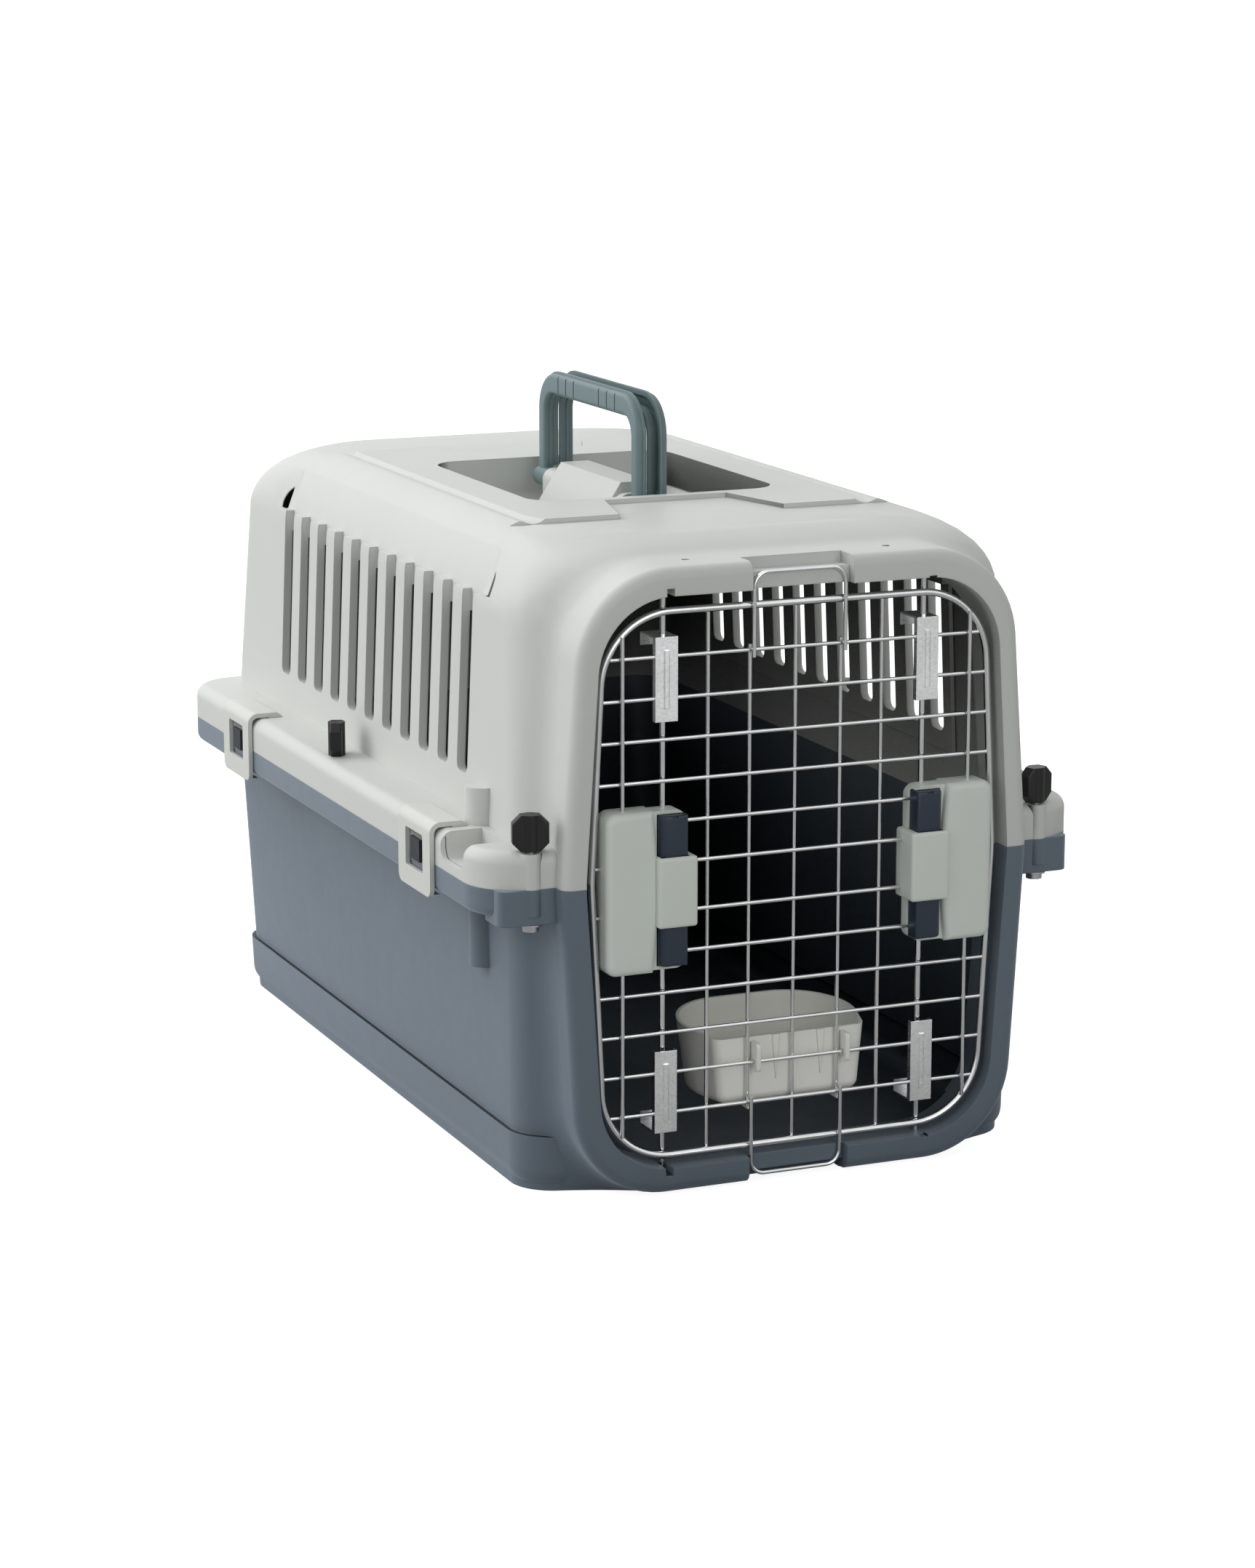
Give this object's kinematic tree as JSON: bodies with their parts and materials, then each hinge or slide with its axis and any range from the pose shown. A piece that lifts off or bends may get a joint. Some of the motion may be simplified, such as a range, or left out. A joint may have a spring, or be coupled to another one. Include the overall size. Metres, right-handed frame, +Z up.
{
  "type": "pet transport carrier",
  "caption": "Two-shell moulded pet carrier with vented sides, a folding carry handle, rim clips, and a wire door with slide latches and a hook-on feeding bowl.",
  "frame": {"origin": "on the floor plane, under the middle of the carrier's length and width", "axes": "+X to the right seen from in front of the door, +Y from the door to the back, +Z up"},
  "size_m": [0.4068, 0.6154, 0.455],
  "materials": {
    "shell_upper": "fine satin, pale warm grey",
    "shell_lower": "fine satin, slate blue-grey",
    "handle": "satin, grey-green slate",
    "knob": "satin black",
    "rim_clip": "satin, cream grey",
    "catch_pad": "satin grey",
    "catch_dark": "satin dark slate",
    "clip_pin": "plain steel",
    "bolt_steel": "plain steel",
    "door_wire": "bright plated wire",
    "lock_rod": "bright plated rod",
    "stamped_metal": "bright plated stamping",
    "latch_cover": "satin warm grey",
    "latch_back": "satin warm grey",
    "latch_slide": "satin dark navy",
    "spring": "spring steel",
    "bowl": "satin warm grey"
  },
  "bodies": {
    "carrier": {"lower_shell": "shell_lower", "upper_shell": "shell_upper", "shell_bolts": "bolt_steel", "bolt_washers": "bolt_steel", "catch_pads": "catch_pad", "clip_catches": "catch_dark", "clip_pins": "clip_pin", "handle_pins": "bolt_steel"},
    "left_grip": {"handle_left": "handle"},
    "right_grip": {"handle_right": "handle"},
    "door": {"door_frame": "door_wire", "door_cross_wires": "door_wire", "door_uprights": "door_wire", "door_tabs": "door_wire", "latch_cover_left": "latch_cover", "latch_cover_right": "latch_cover", "latch_back_left": "latch_back", "latch_back_right": "latch_back", "latch_screws": "bolt_steel", "rod_clips": "stamped_metal", "latch_spring_left": "spring", "latch_spring_right": "spring"},
    "bowl": {"feeding_bowl": "bowl"},
    "left_upper_bolt": {"latch_slide_upper_left": "latch_slide", "lock_rod_upper_left": "lock_rod"},
    "left_lower_bolt": {"latch_slide_lower_left": "latch_slide", "lock_rod_lower_left": "lock_rod"},
    "right_upper_bolt": {"latch_slide_upper_right": "latch_slide", "lock_rod_upper_right": "lock_rod"},
    "right_lower_bolt": {"latch_slide_lower_right": "latch_slide", "lock_rod_lower_right": "lock_rod"},
    "front_left_clip": {"rim_clip_front_left": "rim_clip"},
    "front_right_clip": {"rim_clip_front_right": "rim_clip"},
    "back_left_clip": {"rim_clip_back_left": "rim_clip"},
    "back_right_clip": {"rim_clip_back_right": "rim_clip"},
    "front_left_knob": {"knob_front_left": "knob"},
    "front_right_knob": {"knob_front_right": "knob"},
    "mid_left_knob": {"knob_mid_left": "knob"},
    "mid_right_knob": {"knob_mid_right": "knob"}
  },
  "joints": [
    {"name": "door_swing", "type": "hinge", "parent": "carrier", "child": "door", "pos_m": [0.086, -0.2913, 0.19], "axis": [0, 0, 1], "range_deg": [0, 110]},
    {"name": "latch_left_upper", "type": "slide", "parent": "door", "child": "left_upper_bolt", "axis": [0, 0, -1], "range_m": [0, 0.0065], "stiffness_N_per_m": 150, "springref_m": -0.004, "deforming": ["latch_spring_left"]},
    {"name": "latch_left_lower", "type": "slide", "parent": "door", "child": "left_lower_bolt", "axis": [0, 0, 1], "range_m": [0, 0.0065]},
    {"name": "handle_left_fold", "type": "hinge", "parent": "carrier", "child": "left_grip", "pos_m": [-0.008, 0.008, 0.382], "axis": [0, -1, 0], "range_deg": [0, 88]},
    {"name": "latch_right_upper", "type": "slide", "parent": "door", "child": "right_upper_bolt", "axis": [0, 0, -1], "range_m": [0, 0.0065], "stiffness_N_per_m": 150, "springref_m": -0.004, "deforming": ["latch_spring_right"]},
    {"name": "latch_right_lower", "type": "slide", "parent": "door", "child": "right_lower_bolt", "axis": [0, 0, 1], "range_m": [0, 0.0065]},
    {"name": "handle_right_fold", "type": "hinge", "parent": "carrier", "child": "right_grip", "pos_m": [0.008, 0.008, 0.382], "axis": [0, 1, 0], "range_deg": [0, 88]},
    {"name": "bowl_lift", "type": "slide", "parent": "door", "child": "bowl", "axis": [0, 0, 1], "range_m": [0, 0.01]},
    {"name": "clip_front_left_open", "type": "hinge", "parent": "carrier", "child": "front_left_clip", "pos_m": [-0.184, -0.182, 0.216], "axis": [0, 1, 0], "range_deg": [0, 90]},
    {"name": "clip_front_right_open", "type": "hinge", "parent": "carrier", "child": "front_right_clip", "pos_m": [0.184, -0.182, 0.216], "axis": [0, -1, 0], "range_deg": [0, 90]},
    {"name": "clip_back_left_open", "type": "hinge", "parent": "carrier", "child": "back_left_clip", "pos_m": [-0.184, 0.174, 0.216], "axis": [0, 1, 0], "range_deg": [0, 90]},
    {"name": "clip_back_right_open", "type": "hinge", "parent": "carrier", "child": "back_right_clip", "pos_m": [0.184, 0.174, 0.216], "axis": [0, -1, 0], "range_deg": [0, 90]},
    {"name": "knob_front_left_turn", "type": "hinge", "parent": "carrier", "child": "front_left_knob", "pos_m": [-0.1685, -0.2865, 0.228], "axis": [0, 0, 1], "continuous": true},
    {"name": "knob_front_right_turn", "type": "hinge", "parent": "carrier", "child": "front_right_knob", "pos_m": [0.1685, -0.2865, 0.228], "axis": [0, 0, 1], "continuous": true},
    {"name": "knob_mid_left_turn", "type": "hinge", "parent": "carrier", "child": "mid_left_knob", "pos_m": [-0.185, 0.014, 0.228], "axis": [0, 0, 1], "continuous": true},
    {"name": "knob_mid_right_turn", "type": "hinge", "parent": "carrier", "child": "mid_right_knob", "pos_m": [0.185, 0.014, 0.228], "axis": [0, 0, 1], "continuous": true}
  ],
  "couplings": [
    {"joint": "latch_left_lower", "follows": "latch_left_upper", "ratio": 1},
    {"joint": "latch_right_lower", "follows": "latch_right_upper", "ratio": 1}
  ]
}
